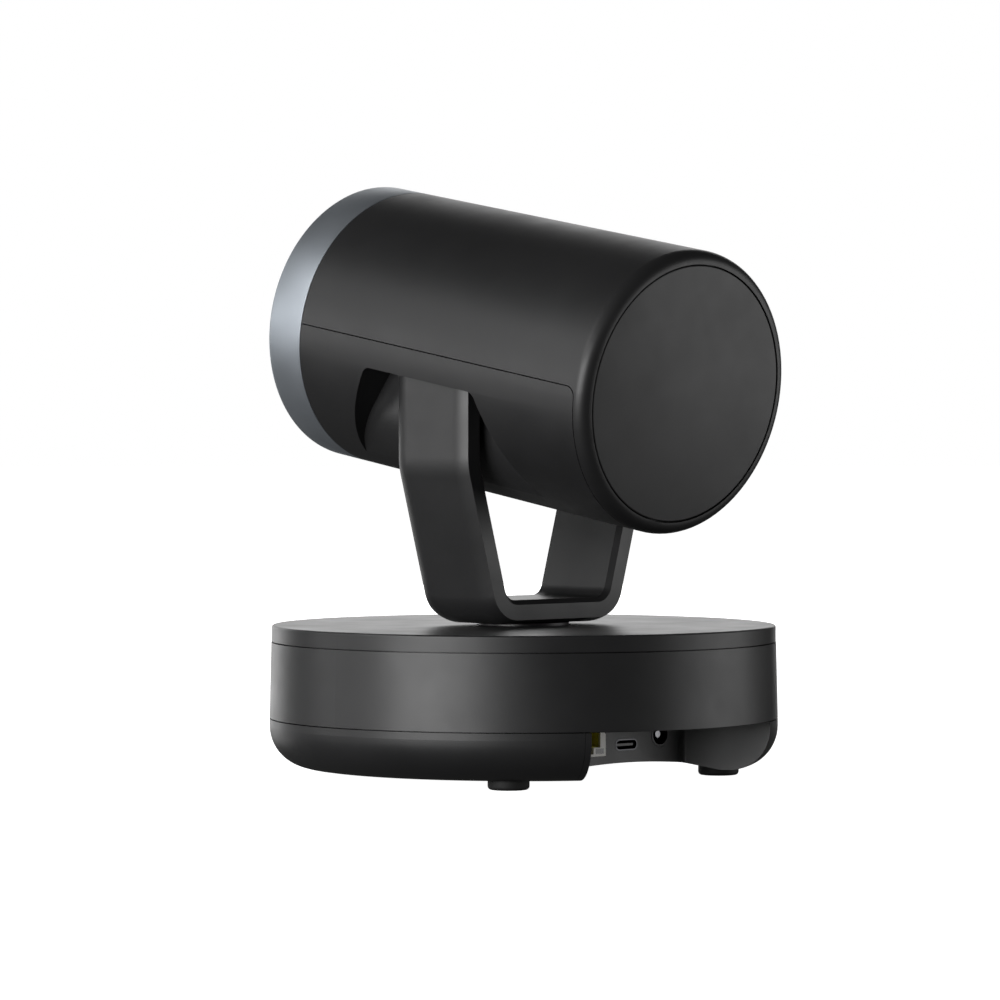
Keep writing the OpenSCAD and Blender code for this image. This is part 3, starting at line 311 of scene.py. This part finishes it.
def along_strap(section, top):
    """Sweeps a section of (y, depth under the outer face) points round the yoke, and closes its ends."""
    mesh = bmesh.new()
    verts = [mesh.verts.new((0, y, strap_bottom + depth)) for y, depth in section]
    loop = [mesh.edges.new((verts[i - 1], verts[i])) for i in range(len(verts))]
    upper, lean_top, lower, lean_foot = strap_bends()
    loop = pull(mesh, loop, (lower.x, 0, 0))
    loop = bend(mesh, loop, lower, math.pi / 2 - arm_lean, 24)
    loop = pull(mesh, loop, lean_top - lean_foot)
    loop = bend(mesh, loop, upper, arm_lean, 14)
    loop = pull(mesh, loop, (0, 0, top - upper.z))
    bmesh.ops.contextual_create(mesh, geom=loop)
    bmesh.ops.mirror(mesh, geom=mesh.verts[:] + mesh.edges[:] + mesh.faces[:], merge_dist=1e-6, axis="X")
    return mesh


def crowned_section():
    """Half of the strap's outer face from its flat to its edge, as (y, depth) points."""
    flat = strap_half_depth - crown_run
    return [(flat + crown_run * step / 8, crown_drop * (step / 8) ** 2) for step in range(9)]


def yoke_strap():
    """The yoke: a strap with a crowned outer face and rims that bed the inner cover."""
    side = crowned_section()
    rim = strap_half_depth - cover_thickness
    inner = strap_thickness + cover_thickness
    side += [(strap_half_depth, crown_drop + 0.12 * MM), (strap_half_depth, strap_thickness),
             (rim + 0.05 * MM, inner - 0.05 * MM), (rim + 0.05 * MM, strap_thickness)]
    section = side + [(-y, depth) for y, depth in reversed(side)]
    mesh = along_strap(section, strap_top)
    for hand in (-1, 1):
        add_arm_end(mesh, hand)
    finish_piece(mesh, "yoke_strap", "turning_yoke", "black_plastic", ["yoke"], sharp=26)


def add_arm_end(mesh, hand):
    """The hidden upper end of an arm: a disc round the tilt axis on a tapering neck."""
    full = strap_top - pivot.z
    foot = full - 2 * MM
    outline = [(-strap_half_depth, foot), (strap_half_depth, foot), (strap_half_depth, full)]
    for step in range(25):
        turn = math.radians(20 + 140 * step / 24)
        outline.append((arm_end_radius * math.cos(turn), arm_end_radius * math.sin(turn)))
    outline.append((-strap_half_depth, full))
    inner_x = hand * (strap_half_width - strap_thickness)
    verts = [mesh.verts.new((inner_x, y, pivot.z + z)) for y, z in outline]
    face = mesh.faces.new(verts)
    grown = bmesh.ops.extrude_face_region(mesh, geom=[face], use_keep_orig=True)["geom"]
    bmesh.ops.translate(mesh, vec=(hand * arm_end_thickness, 0, 0),
                        verts=[g for g in grown if isinstance(g, bmesh.types.BMVert)])


def yoke_inner_cover():
    """The strip that closes the cable channel along the yoke's inside."""
    half = strap_half_depth - cover_thickness
    edge = 0.15 * MM
    low = strap_thickness
    high = strap_thickness + cover_thickness
    section = [(half, low), (half, high - edge), (half - edge, high)]
    section += [(-y, depth) for y, depth in reversed(section)]
    mesh = along_strap(section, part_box("yoke_cable_cover")[1].z)
    finish_piece(mesh, "yoke_inner_strip", "turning_yoke", "black_plastic", ["yoke_cable_cover"])


yoke_strap()
yoke_inner_cover()


# ---------- feet and network jack ----------

def rubber_feet():
    """Four moulded rubber feet with a rounded tread."""
    foot = lathe([(0, 0, 0), (6, 0, 1.1), (6, 3.9, 0), (0, 3.9, 0)], 64)
    low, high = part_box("rubber_feet")
    rear = Vector((high.x - 6 * MM, high.y - 6 * MM, 0))
    front = Vector((28.8 * MM, low.y + 6 * MM, 0))
    places = [rear, front, Vector((-rear.x, rear.y, 0)), Vector((-front.x, front.y, 0))]
    original = foot.verts[:] + foot.edges[:] + foot.faces[:]
    for place in places:
        copy = bmesh.ops.duplicate(foot, geom=original)["geom"]
        bmesh.ops.translate(foot, vec=place, verts=[g for g in copy if isinstance(g, bmesh.types.BMVert)])
    bmesh.ops.delete(foot, geom=original[:], context="VERTS")
    finish_piece(foot, "moulded_feet", "base", "foot_rubber", ["rubber_feet"])


rubber_feet()


def jack_lining():
    """The olive-yellow inside of the network jack, as a thin-walled box that opens to the rear."""
    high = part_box("ethernet_jack")[1]
    centre = Vector((15.8 * MM, high.y - 7.6 * MM, 13.5 * MM))
    mesh = bmesh.new()
    bmesh.ops.create_cube(mesh, size=1.0, matrix=Matrix.Diagonal((11.6 * MM, 13.8 * MM, 5.5 * MM, 1)))
    bmesh.ops.delete(mesh, geom=[face for face in mesh.faces if face.normal.y > 0.5], context="FACES_ONLY")
    bmesh.ops.solidify(mesh, geom=mesh.faces[:], thickness=0.15 * MM)
    finish_piece(mesh, "jack_lining", "base", "brass", place=Matrix.Translation(centre),
                 surface=olive_lining)


jack_lining()


# ---------- turned pieces of the head ----------

def front_ring():
    """The metal ring: a rounded nose, a fine lip round the bezel and the hidden spigot."""
    profile = [(41.3, 53.38, 0.15), (41.3, 67.7, 1.0), (38.1, 67.7, 0.25), (37.9, 67.4, 0), (37.9, 66.62, 0),
               (39.0, 66.62, 0), (39.0, 56.2, 0), (37.6, 56.2, 0), (37.6, 48.2, 0), (38.7, 48.2, 0.2),
               (38.7, 53.38, 0)]
    finish_piece(lathe(profile), "satin_ring", "head", "ring_aluminium", ["front_ring"], head_place)


def front_bezel():
    """The dished bezel: a plain rim, then fine terraces that keep stray light off the lens."""
    terraces = 9
    profile = [(38.98, 64.9, 0), (38.98, 66.6, 0.1), (37.6, 66.6, 0.2)]
    for step in range(terraces):
        radius = 37.0 - 13.2 * step / terraces
        height = 66.0 - 7.4 * (step + 1) / terraces
        profile += [(radius, height + 7.4 / terraces, 0.08), (radius, height, 0)]
    profile += [(22.62, 58.6, 0), (22.62, 57.0, 0), (24.0, 57.0, 0), (37.2, 64.9, 0)]
    finish_piece(lathe(profile), "terraced_bezel", "head", "dark_plastic", ["front_bezel"], head_place)


def rear_cap():
    """The flat cap in the rear end, with a softly broken edge and a spigot behind it."""
    profile = [(0, -67.8, 0), (37.2, -67.8, 0.45), (37.2, -65.4, 0), (29.9, -65.4, 0), (29.9, -63.95, 0.2),
               (28.0, -63.95, 0.2), (28.0, -65.4, 0), (0, -65.4, 0)]
    finish_piece(lathe(profile), "rear_disc", "head", "black_plastic", ["rear_cap"], head_place)


front_ring()
front_bezel()
rear_cap()


# ---------- stage, lights and camera ----------

target = Vector((0.0050, -0.0049, 0.0813))
eye = Vector((1.1077, 1.1484, 0.1154))
toward_camera = Vector((eye.x, eye.y, 0)).normalized()
camera_right = Vector((-toward_camera.y, toward_camera.x, 0))
light_distance = 1.5


def floor_and_world():
    """A pale floor with a soft contact shadow, under an even white surround."""
    mesh = bmesh.new()
    bmesh.ops.create_circle(mesh, cap_ends=True, radius=6.0, segments=96)
    data = bpy.data.meshes.new("studio_floor")
    mesh.to_mesh(data)
    mesh.free()
    floor = bpy.data.objects.new("studio_floor", data)
    bpy.context.scene.collection.objects.link(floor)
    material, tree, links = blank("pale studio floor")
    shader = tree["Principled BSDF"]
    shader.inputs["Base Color"].default_value = (0.9, 0.9, 0.9, 1)
    shader.inputs["Roughness"].default_value = 0.9
    shader.inputs["Emission Color"].default_value = (1, 1, 1, 1)
    shader.inputs["Emission Strength"].default_value = 1.0
    data.materials.append(material)
    floor.visible_diffuse = False
    floor.visible_glossy = False
    floor.visible_shadow = False
    world = bpy.data.worlds.new("white surround")
    world.use_nodes = True
    tree, links = world.node_tree.nodes, world.node_tree.links
    background = tree["Background"]
    background.inputs["Color"].default_value = (1, 1, 1, 1)
    path = tree.new("ShaderNodeLightPath")
    strength = tree.new("ShaderNodeMapRange")
    strength.inputs["To Min"].default_value = 0.05
    strength.inputs["To Max"].default_value = 1.0
    links.new(path.outputs["Is Camera Ray"], strength.inputs["Value"])
    links.new(strength.outputs["Result"], background.inputs["Strength"])
    bpy.context.scene.world = world


def softbox(name, bearing, rise, power, width=0.55, tall=0.5):
    """An area light facing the object, at a bearing in degrees to the right of the camera."""
    light = bpy.data.lights.new(name, "AREA")
    light.shape = "RECTANGLE"
    light.size = width
    light.size_y = tall
    light.energy = power
    holder = bpy.data.objects.new(name, light)
    turn, climb = math.radians(bearing), math.radians(rise)
    level = toward_camera * math.cos(turn) + camera_right * math.sin(turn)
    outward = level * math.cos(climb) + Vector((0, 0, math.sin(climb)))
    holder.location = target + outward * light_distance
    holder.rotation_euler = (target - holder.location).to_track_quat("-Z", "Y").to_euler()
    holder.visible_camera = False
    bpy.context.scene.collection.objects.link(holder)


def view_camera():
    camera = bpy.data.objects.new("view_camera", bpy.data.cameras.new("view_camera"))
    camera.data.lens = 194.65
    camera.data.sensor_width = 36
    camera.data.clip_start = 0.05
    camera.location = eye
    camera.rotation_euler = (target - eye).to_track_quat("-Z", "Y").to_euler()
    bpy.context.scene.collection.objects.link(camera)
    bpy.context.scene.camera = camera


floor_and_world()
softbox("key", -40, 6, 22, width=1.2)
softbox("high_key", -75, 30, 4)
softbox("left_side", -95, 5, 3)
softbox("left_back", -145, 0, 2, tall=0.8)
softbox("back_panel", -172, 5, 6, width=1.6, tall=0.6)
softbox("top_back", 180, 24, 2.5, width=1.2, tall=0.4)
softbox("right_bank", 95, 0, 6, width=1.2, tall=0.8)
view_camera()
bpy.context.scene.view_settings.view_transform = "Standard"
